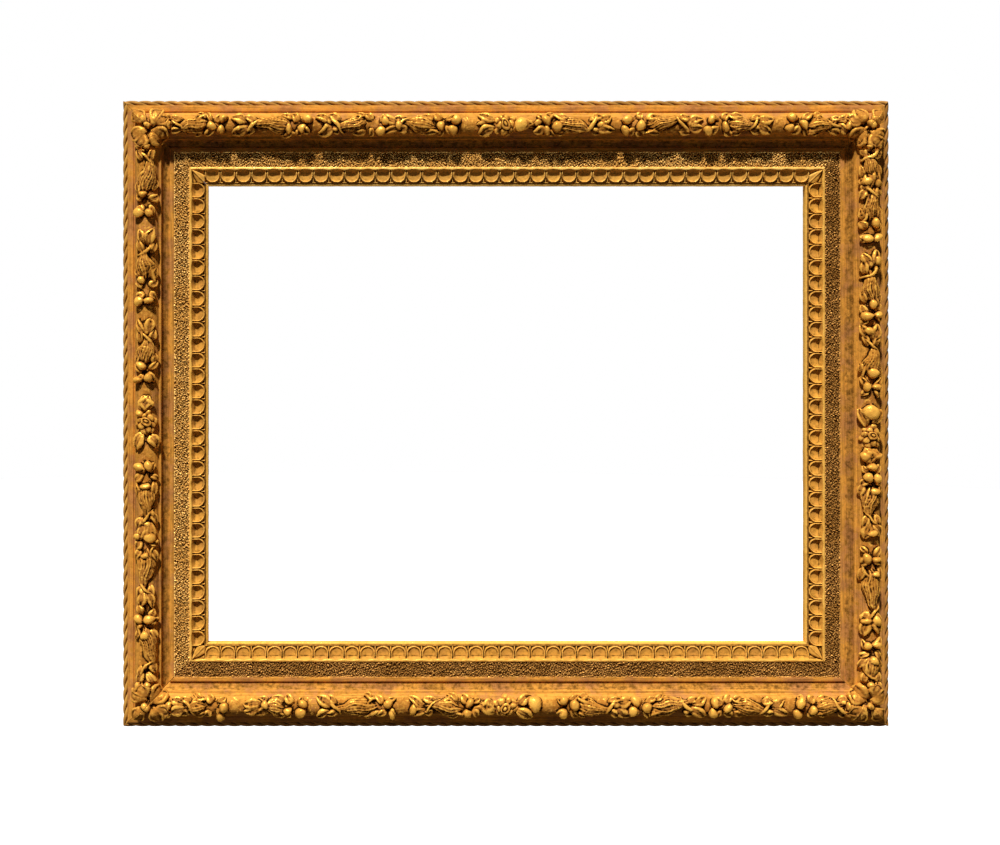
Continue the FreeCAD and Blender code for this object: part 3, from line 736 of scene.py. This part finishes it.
def corner_petals(rail, end, forms, finish):
    """Half of a corner's petals, on one rail up to the mitre."""
    berry, lobe, leaf = forms
    crossing = RAILS[rail][1] / 2 - TORUS_CENTRE[0]
    parts = [flat_ground(crossing - 31, crossing + 16),
             planted(berry, crossing, 0, 0, 3.4, 3.4, 4.0, 1.0)]
    for back, across, heading, length, width, rise in (
            (-1, -1, -45, 1.15, 1.6, 1.1), (5, 1, -118, 1.15, 1.45, 1.3),
            (8, -2, -168, 0.9, 1.4, 1.2), (5, 5, 152, 1.05, 1.5, 1.3), (1, 3, 118, 0.9, 1.2, 1.0)):
        parts.append(planted(lobe, crossing - back, across, heading, length, width, rise))
    for back, across, size in ((22, -9, 3.4), (24, 1, 4.0), (21, 11, 3.2)):
        parts.append(planted(berry, crossing - back, across, 0, size, size, size, 0.5))
    parts.append(planted(leaf, crossing - 15, -7, 176, 0.9, 0.9, 1.0))
    if end < 0:
        mirrored = [planted(part, 0, 0, 0, -1, 1, 1) for part in parts]
        put_away(*parts)
        parts = mirrored
    piece = pressed(parts, "corner_half", 0.5, 0.5)
    start = end * (crossing - CORNER_REACH)
    open_mesh(piece)
    sawn_off(start, (-end, 0, 0))
    close_mesh()
    bedded(piece)
    mitre(piece, rail, MITRE_GAP, sprung=True)
    smooth_over(piece, 180)
    note_relief(piece, 4, 26, 1.3, 2.2)
    return set_on_rail(piece, rail, finish, "gilt_composition")


# Fittings on the back, in metres where the model has them

def sewn_copy(node, name):
    """A copy of one of the model's pieces, its triangles sewn up and its flats made whole."""
    piece = brought_in(name, frame["nodes"][node].data.copy())
    open_mesh(piece)
    bpy.ops.mesh.remove_doubles(threshold=0.000002)
    bpy.ops.mesh.dissolve_limited(angle_limit=math.radians(2))
    close_mesh()
    return piece


def fitted_on_back(piece, node, finish):
    """The piece takes its node's place and moves with that node's body."""
    piece.data.materials.clear()
    piece.data.materials.append(finish)
    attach(piece, frame["nodes"][node]["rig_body"])
    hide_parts(node)


def eased_plate(node, width, finish):
    """A stamped plate with the sharpness off its edges."""
    piece = sewn_copy(node, "eased_" + node)
    finish_with(piece, "BEVEL", width=width, segments=2, limit_method="ANGLE",
                angle_limit=math.radians(40))
    smooth_over(piece, 35)
    fitted_on_back(piece, node, finish)


def slotted_screws(node, finish):
    """Screws with eased heads, each slot left at its own angle by the driver."""
    piece = sewn_copy(node, "slotted_" + node)
    back = max(vertex.co.y for vertex in piece.data.vertices)
    heads = [face.center.copy() for face in piece.data.polygons
             if face.normal.y > 0.9 and face.center.y > back - 0.00005]
    finish_with(piece, "BEVEL", width=0.0006, segments=3, limit_method="ANGLE",
                angle_limit=math.radians(50))
    slot_size = (0.009, 0.0018, 0.0010)
    cutters = []
    for number, head in enumerate(heads):
        nothing_selected()
        bpy.ops.mesh.primitive_cube_add(size=1, location=head, rotation=(0, 0.4 + 0.9 * number, 0),
                                        scale=slot_size)
        cutters.append(named("slot"))
        bpy.ops.object.transform_apply()
    slots = joined(cutters, "slots")
    finish_with(piece, "BOOLEAN", operation="DIFFERENCE", object=slots)
    put_away(slots)
    smooth_over(piece, 35)
    fitted_on_back(piece, node, finish)


def wire_d_ring(node, finish):
    """Round wire bent to a D: a bar in the strap's roll, two legs and a round end."""
    low, high = (Vector(corner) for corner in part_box(node))
    wire, corner = 0.0013, 0.0018
    half = (high.x - low.x) / 2 - wire
    pivot = Vector(((low.x + high.x) / 2, (low.y + high.y) / 2, high.z - wire))
    round_end = half - (high.z - low.z - 2 * wire)
    centre_line = []
    for x, z, radius, first, last, steps in (
            (corner - half, -corner, corner, 180, 90, 6), (half - corner, -corner, corner, 90, 0, 6),
            (0, round_end, half, 0, -180, 30)):
        for step in range(steps + 1):
            angle = math.radians(first + (last - first) * step / steps)
            bend = Vector((x + radius * math.cos(angle), 0, z + radius * math.sin(angle)))
            centre_line.append(pivot + bend)
    nothing_selected()
    path = bpy.data.curves.new("round_" + node, "CURVE")
    path.dimensions = "3D"
    path.bevel_depth = wire
    path.bevel_resolution = 4
    spline = path.splines.new("POLY")
    spline.points.add(len(centre_line) - 1)
    for point, place in zip(spline.points, centre_line):
        point.co = (*place, 1)
    spline.use_cyclic_u = True
    take(brought_in("round_" + node, path))
    bpy.ops.object.convert(target="MESH")
    piece = named("round_" + node)
    smooth_over(piece, 60)
    fitted_on_back(piece, node, finish)


# Finishes

def link(tree, source, target):
    tree.links.new(source, target)


def open_group(name, inputs, outputs):
    """A new node group, with its own sockets to wire up."""
    kinds = {"number": "NodeSocketFloat", "vector": "NodeSocketVector", "colour": "NodeSocketColor"}
    tree = bpy.data.node_groups.new(name, "ShaderNodeTree")
    for label, kind, value in inputs:
        socket = tree.interface.new_socket(label, in_out="INPUT", socket_type=kinds[kind])
        if value is not None:
            socket.default_value = value
    for label, kind in outputs:
        tree.interface.new_socket(label, in_out="OUTPUT", socket_type=kinds[kind])
    return tree, tree.nodes.new("NodeGroupInput").outputs, tree.nodes.new("NodeGroupOutput").inputs


def stretched(tree, place, scale, turn=(0, 0, 0)):
    mapping = tree.nodes.new("ShaderNodeMapping")
    mapping.inputs["Rotation"].default_value = turn
    mapping.inputs["Scale"].default_value = scale
    link(tree, place, mapping.inputs["Vector"])
    return mapping.outputs["Vector"]


def noise(tree, place, scale, detail):
    node = tree.nodes.new("ShaderNodeTexNoise")
    node.inputs["Scale"].default_value = scale
    node.inputs["Detail"].default_value = detail
    node.inputs["Roughness"].default_value = 0.55
    link(tree, place, node.inputs["Vector"])
    return node.outputs["Fac"]


def reckoned(tree, operation, first, second, clamp=False):
    node = tree.nodes.new("ShaderNodeMath")
    node.operation = operation
    node.use_clamp = clamp
    for socket, value in zip(node.inputs, (first, second)):
        if isinstance(value, (int, float)):
            socket.default_value = value
        else:
            link(tree, value, socket)
    return node.outputs[0]


def times(tree, first, second, clamp=False):
    return reckoned(tree, "MULTIPLY", first, second, clamp)


def fitted(tree, value, low, high, new_low=0.0, new_high=1.0):
    node = tree.nodes.new("ShaderNodeMapRange")
    node.interpolation_type = "SMOOTHSTEP"
    for socket, number in zip(list(node.inputs)[1:5], (low, high, new_low, new_high)):
        socket.default_value = number
    link(tree, value, node.inputs[0])
    return node.outputs[0]


def mixed(tree, share, first, second):
    node = tree.nodes.new("ShaderNodeMix")
    node.data_type = "RGBA"
    link(tree, share, node.inputs[0])
    for socket, value in ((node.inputs[6], first), (node.inputs[7], second)):
        if isinstance(value, tuple):
            socket.default_value = value
        else:
            link(tree, value, socket)
    return node.outputs[2]


def gilt_group():
    """Old gilding: dark in the hollows, partly toning and partly painted shade; bright on the ridges,
    partly rubbed gold and partly painted highlight; red bole showing through.

    Crest moves the ridge brightening, rubbed gold with painted highlight, up to higher ridges only.
    """
    tree, given, result = open_group("old_gilding", (
        ("Relief", "number", 0.5), ("Place", "vector", None),
        ("Gold", "colour", (0.52, 0.215, 0.032, 1)), ("Bright", "colour", (0.82, 0.45, 0.085, 1)),
        ("Toning and painted shade", "colour", (0.030, 0.010, 0.002, 1)),
        ("Bole", "colour", (0.40, 0.155, 0.05, 1)), ("Depth", "number", 1.0), ("Crest", "number", 0.0),
        ("Rubbing", "number", 0.5), ("Streaks", "number", 0.0), ("Wear", "number", 0.6),
        ("Mottle", "number", 0.35)),
        (("Colour", "colour"), ("Roughness", "number"), ("Metal", "number"), ("Height", "number")))
    place = given["Place"]
    patches = noise(tree, place, 38, 4)
    mottle = noise(tree, place, 230, 3)
    speck = noise(tree, place, 1500, 2)
    streak = noise(tree, stretched(tree, place, (0.035, 1, 1)), 900, 3)
    ragged = given["Relief"]
    for texture, share in ((mottle, 0.42), (speck, 0.16)):
        uneven = times(tree, reckoned(tree, "SUBTRACT", texture, 0.5), share)
        ragged = reckoned(tree, "ADD", ragged, uneven)
    # Painted shade: the hollows darken towards the toning colour, partly real toning and partly painted
    # shade.
    hollow = times(tree, fitted(tree, ragged, 0.5, 0.14), given["Depth"], True)
    # Painted highlight: the ridges brighten in patches, partly rubbed gold and partly painted highlight.
    handled = times(tree, fitted(tree, patches, 0.36, 0.6, 0.45, 1.0), given["Rubbing"])
    crest = fitted(tree, reckoned(tree, "SUBTRACT", ragged, given["Crest"]), 0.54, 0.84)
    ridge = times(tree, crest, handled, True)
    bare = fitted(tree, reckoned(tree, "ADD", patches, times(tree, mottle, 0.35)), 0.6, 0.8)
    worn = times(tree, bare, given["Wear"], True)
    streaked = times(tree, fitted(tree, streak, 0.4, 0.7), given["Streaks"], True)
    colour = mixed(tree, worn, given["Gold"], given["Bole"])
    clouded = reckoned(tree, "ADD", fitted(tree, mottle, 0.56, 0.34, 0.0, 0.55),
                       fitted(tree, speck, 0.52, 0.3, 0.0, 0.4))
    clouded = times(tree, clouded, given["Mottle"], True)
    colour = mixed(tree, clouded, colour, given["Toning and painted shade"])
    colour = mixed(tree, streaked, colour, given["Toning and painted shade"])
    # Painted highlight with rubbed gold on the ridges.
    colour = mixed(tree, ridge, colour, given["Bright"])
    # Painted shade with real toning in the hollows.
    link(tree, mixed(tree, hollow, colour, given["Toning and painted shade"]), result["Colour"])
    dulled = times(tree, hollow, 0.3)
    roughness = reckoned(tree, "ADD", fitted(tree, mottle, 0.3, 0.7, 0.2, 0.34), dulled, True)
    link(tree, roughness, result["Roughness"])
    clean = reckoned(tree, "SUBTRACT", 1.0, reckoned(tree, "MAXIMUM", hollow, worn), True)
    link(tree, times(tree, clean, ridge, True), result["Metal"])
    height = times(tree, mottle, 0.6)
    for texture, share in ((speck, 0.25), (noise(tree, place, 620, 2), 0.7), (streak, 0.3)):
        height = reckoned(tree, "ADD", height, times(tree, texture, share))
    link(tree, height, result["Height"])
    return tree


def grain_group():
    """Sawn timber gone brown: slow growth lines, fine fibres, and dirt from handling."""
    tree, given, result = open_group("sawn_grain", (
        ("Place", "vector", None), ("Light", "colour", (0.42, 0.26, 0.125, 1)),
        ("Dark", "colour", (0.22, 0.11, 0.04, 1)), ("Lines", "number", 0.75), ("Dirt", "number", 0.55)),
        (("Colour", "colour"), ("Roughness", "number"), ("Height", "number")))
    place = given["Place"]
    growth = times(tree, noise(tree, place, 6, 2), 16.0)
    lines = fitted(tree, reckoned(tree, "PINGPONG", growth, 1.0), 0.45, 1.0)
    fibre = noise(tree, place, 160, 4)
    soil = noise(tree, place, 2.2, 5)
    late = times(tree, lines, given["Lines"], True)
    colour = mixed(tree, late, given["Light"], given["Dark"])
    fibrous = times(tree, fitted(tree, fibre, 0.4, 0.75), 0.45)
    colour = mixed(tree, fibrous, colour, given["Dark"])
    soiled = times(tree, fitted(tree, soil, 0.45, 0.72), given["Dirt"], True)
    link(tree, mixed(tree, soiled, colour, (0.075, 0.045, 0.022, 1)), result["Colour"])
    link(tree, fitted(tree, fibre, 0.2, 0.8, 0.62, 0.88), result["Roughness"])
    link(tree, reckoned(tree, "ADD", times(tree, lines, 0.4), fibre), result["Height"])
    return tree


def metal_group():
    """Stamped metal that has been handled: dull bloom in patches and fine scratches."""
    tree, given, result = open_group("handled_metal", (
        ("Place", "vector", None), ("Metal", "colour", (0.40, 0.27, 0.095, 1)),
        ("Bloom", "colour", (0.16, 0.09, 0.03, 1)), ("Share", "number", 0.6)),
        (("Colour", "colour"), ("Roughness", "number"), ("Height", "number")))
    place = given["Place"]
    patches = noise(tree, place, 260, 5)
    scratches = noise(tree, stretched(tree, place, (0.12, 1, 1), (0.3, 0.5, 0.7)), 4200, 2)
    bloom = times(tree, fitted(tree, patches, 0.42, 0.68), given["Share"], True)
    link(tree, mixed(tree, bloom, given["Metal"], given["Bloom"]), result["Colour"])
    dulled = times(tree, bloom, 0.35)
    roughness = reckoned(tree, "ADD", fitted(tree, scratches, 0.3, 0.7, 0.26, 0.44), dulled, True)
    link(tree, roughness, result["Roughness"])
    link(tree, reckoned(tree, "ADD", scratches, patches), result["Height"])
    return tree


def finished(name, group, place, bump, values):
    """A material with the group's colour, roughness and height on one shader."""
    material = bpy.data.materials.new(name)
    material.use_nodes = True
    tree = material.node_tree
    shader = tree.nodes["Principled BSDF"]
    tone = tree.nodes.new("ShaderNodeGroup")
    tone.node_tree = group
    link(tree, place(tree), tone.inputs["Place"])
    for key, value in values.items():
        tone.inputs[key.title()].default_value = value
    link(tree, tone.outputs["Colour"], shader.inputs["Base Color"])
    link(tree, tone.outputs["Roughness"], shader.inputs["Roughness"])
    bumping = tree.nodes.new("ShaderNodeBump")
    bumping.inputs["Strength"].default_value = 0.5
    bumping.inputs["Distance"].default_value = bump
    link(tree, tone.outputs["Height"], bumping.inputs["Height"])
    link(tree, bumping.outputs["Normal"], shader.inputs["Normal"])
    return material, tree, shader, tone


def read(tree, name, output):
    node = tree.nodes.new("ShaderNodeAttribute")
    node.attribute_name = name
    return node.outputs[output]


def bench_place(tree):
    return read(tree, "bench", "Vector")


def gilt(name, group, metal, bump, **values):
    """Gilding without varnish: only where it is rubbed does the gold shine as metal."""
    material, tree, shader, tone = finished(name, group, bench_place, bump, values)
    link(tree, read(tree, "relief", "Fac"), tone.inputs["Relief"])
    link(tree, times(tree, tone.outputs["Metal"], metal), shader.inputs["Metallic"])
    shader.inputs["Specular IOR Level"].default_value = 0.0
    shader.inputs["Specular Tint"].default_value = (1.0, 0.72, 0.36, 1)
    return material


def own_place(scale, turn=(0, 0, 0)):
    """The piece's own coordinates, stretched along its grain."""
    def place(tree):
        return stretched(tree, tree.nodes.new("ShaderNodeTexCoord").outputs["Object"], scale, turn)
    return place


def timber(name, group, scale, turn=(0, 0, 0), **values):
    material, tree, shader, tone = finished(name, group, own_place(scale, turn), 0.0003, values)
    shader.inputs["Specular IOR Level"].default_value = 0.25
    return material


def fitting_metal(name, group, **values):
    material, tree, shader, tone = finished(name, group, own_place((1, 1, 1)), 0.00004, values)
    shader.inputs["Metallic"].default_value = 0.9
    return material


def plain(name, colour, rough):
    material = bpy.data.materials.new(name)
    material.use_nodes = True
    shader = material.node_tree.nodes["Principled BSDF"]
    shader.inputs["Base Color"].default_value = (*colour, 1)
    shader.inputs["Roughness"].default_value = rough
    return material


def seen_directly(tree):
    """1 for what the camera sees, straight or through a reflection, and 0 for scattered light."""
    rays = tree.nodes.new("ShaderNodeLightPath")
    total = rays.outputs["Is Camera Ray"]
    for other in ("Is Glossy Ray", "Is Transmission Ray"):
        either = tree.nodes.new("ShaderNodeMath")
        either.operation = "MAXIMUM"
        link(tree, total, either.inputs[0])
        link(tree, rays.outputs[other], either.inputs[1])
        total = either.outputs[0]
    return total


def pale_floor():
    """Pale to the eye, and dull to scattered light, so that the undersides stay in shade."""
    material = plain("pale_floor", (0.85, 0.85, 0.84), 0.9)
    tree = material.node_tree
    shade = tree.nodes.new("ShaderNodeMix")
    shade.data_type = "RGBA"
    shade.inputs[6].default_value = (0.03, 0.022, 0.015, 1)
    shade.inputs[7].default_value = (0.85, 0.85, 0.84, 1)
    link(tree, seen_directly(tree), shade.inputs[0])
    link(tree, shade.outputs[2], tree.nodes["Principled BSDF"].inputs["Base Color"])
    return material


# Making the pieces
old_gilding = gilt_group()
moulding_gilt = gilt("moulding_gilt", old_gilding, 0.14, 0.0004, depth=0.95, rubbing=0.6, streaks=0.42,
                     wear=0.75, mottle=0.4, gold=(0.82, 0.355, 0.054, 1), bole=(0.52, 0.21, 0.07, 1))
rope_gilt = gilt("rope_gilt", old_gilding, 0.3, 0.0002, rubbing=0.6, gold=(0.40, 0.17, 0.032, 1))
# Painted shade: a darker copy of the rope gilding for the bottom and right ropes, where they lie in
# shade.
shaded_rope_gilt = gilt("shaded_rope_gilt", old_gilding, 0.2, 0.0002, rubbing=0.35,
                        gold=(0.24, 0.10, 0.020, 1), bright=(0.6, 0.30, 0.06, 1))
# A darker copy of the rope gilding, for the top rail's rope.
darker_top_rope_gilt = gilt("darker_top_rope_gilt", old_gilding, 0.1, 0.0002, rubbing=0.35,
                       gold=(0.25, 0.115, 0.03, 1))
sand_gilt = gilt("sand_gilt", old_gilding, 0.2, 0.0002, rubbing=1.0, wear=0.2,
                 gold=(0.66, 0.30, 0.055, 1), bright=(1.0, 0.62, 0.18, 1))
dark_sand_gilt = gilt("dark_sand_gilt", old_gilding, 0.2, 0.0002, rubbing=0.9, wear=0.2,
                      gold=(0.27, 0.11, 0.020, 1), bright=(0.74, 0.38, 0.09, 1))
sight_gilt = gilt("sight_gilt", old_gilding, 0.26, 0.0003, rubbing=0.8, streaks=0.1, wear=0.3,
                  gold=(0.80, 0.37, 0.055, 1), bright=(0.98, 0.56, 0.11, 1))
# Painted light: a brighter copy of the sight gilding, with less darkening in its hollows, for the top
# rail's eggs, whose band faces down away from the light.
painted_light_sight_gilt = gilt("painted_light_sight_gilt", old_gilding, 0.3, 0.0003, depth=0.6, rubbing=0.8,
                         streaks=0.1, wear=0.2, gold=(1.0, 0.50, 0.09, 1), bright=(1.0, 0.62, 0.16, 1))
leaf_gilt = gilt("leaf_gilt", old_gilding, 0.34, 0.0007, depth=1.15, rubbing=1.0, wear=0.3, crest=0.05,
                 gold=(0.52, 0.20, 0.028, 1), bright=(0.90, 0.46, 0.072, 1))

for rail, rope_finish, sand_finish, sight_finish in (
        ("bottom", shaded_rope_gilt, dark_sand_gilt, sight_gilt),
        ("right", shaded_rope_gilt, dark_sand_gilt, sight_gilt),
        ("top", darker_top_rope_gilt, sand_gilt, painted_light_sight_gilt),
        ("left", rope_gilt, sand_gilt, sight_gilt)):
    torus_moulding(rail, moulding_gilt)
    rope_edge(rail, rope_finish)
    sanded_frieze(rail, sand_finish)
    egg_moulding(rail, sight_finish)

berry, leaf, bud, ribbon = berry_form(), leaf_form(), bud_form(), ribbon_form()
sheaves = [sheaf_form(number) for number in range(3)]
rose, lobe = rose_form(), lobe_form()
for rail in RAILS:
    garland(rail, (berry, sheaves, leaf, bud, ribbon), leaf_gilt)
    centre_rose(rail, rose, leaf_gilt)
for corner, (first, second) in {"bottom_right": ("bottom", "right"), "top_right": ("right", "top"),
                                "top_left": ("top", "left"), "bottom_left": ("left", "bottom")}.items():
    halves = [corner_petals(rail, end, (berry, lobe, leaf), leaf_gilt)
              for rail, end in ((first, 1), (second, -1))]
    for half in halves:
        half.parent = None
    petals = joined(halves, "corner_petals_" + corner)
    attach(petals, "frame")
    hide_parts("corner_leaf_" + corner)
put_away(berry, leaf, bud, ribbon, rose, lobe, *sheaves)

sawn_grain, handled_metal = grain_group(), metal_group()
level_pine = timber("level_pine", sawn_grain, (1, 18, 18))
upright_pine = timber("upright_pine", sawn_grain, (18, 18, 1))
key_wood = timber("key_wood", sawn_grain, (18, 18, 2), light=(0.26, 0.14, 0.06, 1),
                  dark=(0.11, 0.05, 0.02, 1))
aged_brass = fitting_metal("aged_brass", handled_metal)
dull_steel = fitting_metal("dull_steel", handled_metal, metal=(0.42, 0.40, 0.37, 1),
                           bloom=(0.12, 0.09, 0.07, 1))
for number in range(1, 7):
    eased_plate("turn_button_%d" % number, 0.0005, aged_brass)
for side in ("left", "right"):
    eased_plate("strap_" + side, 0.0002, aged_brass)
    wire_d_ring("d_ring_" + side, aged_brass)
for screws in ("button_screws", "strap_screws"):
    slotted_screws(screws, dull_steel)

for name, node in frame["nodes"].items():
    if name.startswith("carcass"):
        shown = level_pine if name.endswith(("bottom", "top")) else upright_pine
    elif name.startswith("mitre_key"):
        shown = key_wood
    else:
        continue
    for index in range(len(node.data.materials)):
        node.data.materials[index] = shown
    if not node.data.materials:
        node.data.materials.append(shown)

# Camera, light and floor
camera = brought_in("camera", bpy.data.cameras.new("camera"))
camera.location = (-0.160, -1.55, 0.111)
camera.rotation_euler = (math.pi / 2, 0, 0)
camera.data.lens = 51.4
camera.data.sensor_width = 36
camera.data.shift_x = 0.1434
camera.data.shift_y = -0.1124
bpy.context.scene.camera = camera

for name, energy, spread_of_light, direction in (("key", 5.4, 3, (0.17, 0.49, -0.88)),
                                                 ("behind", 2.2, 20, (-0.3, -0.85, -0.25))):
    sun = brought_in(name, bpy.data.lights.new(name, "SUN"))
    sun.data.energy = energy
    sun.data.angle = math.radians(spread_of_light)
    sun.rotation_euler = Vector(direction).to_track_quat("-Z", "Y").to_euler()

world = bpy.data.worlds.new("studio")
bpy.context.scene.world = world
world.use_nodes = True
tree = world.node_tree
background = tree.nodes["Background"]
background.inputs["Color"].default_value = (1, 1, 1, 1)
level = tree.nodes.new("ShaderNodeMapRange")
level.inputs["To Min"].default_value = 0.012
level.inputs["To Max"].default_value = 1.0
link(tree, seen_directly(tree), level.inputs["Value"])
link(tree, level.outputs[0], background.inputs["Strength"])

nothing_selected()
bpy.ops.mesh.primitive_circle_add(vertices=96, radius=6, fill_type="NGON", location=(0, 0, -0.75))
floor = named("floor")
bpy.ops.object.transform_apply()
floor.data.materials.append(pale_floor())

bpy.context.scene.view_settings.view_transform = "Standard"

import json
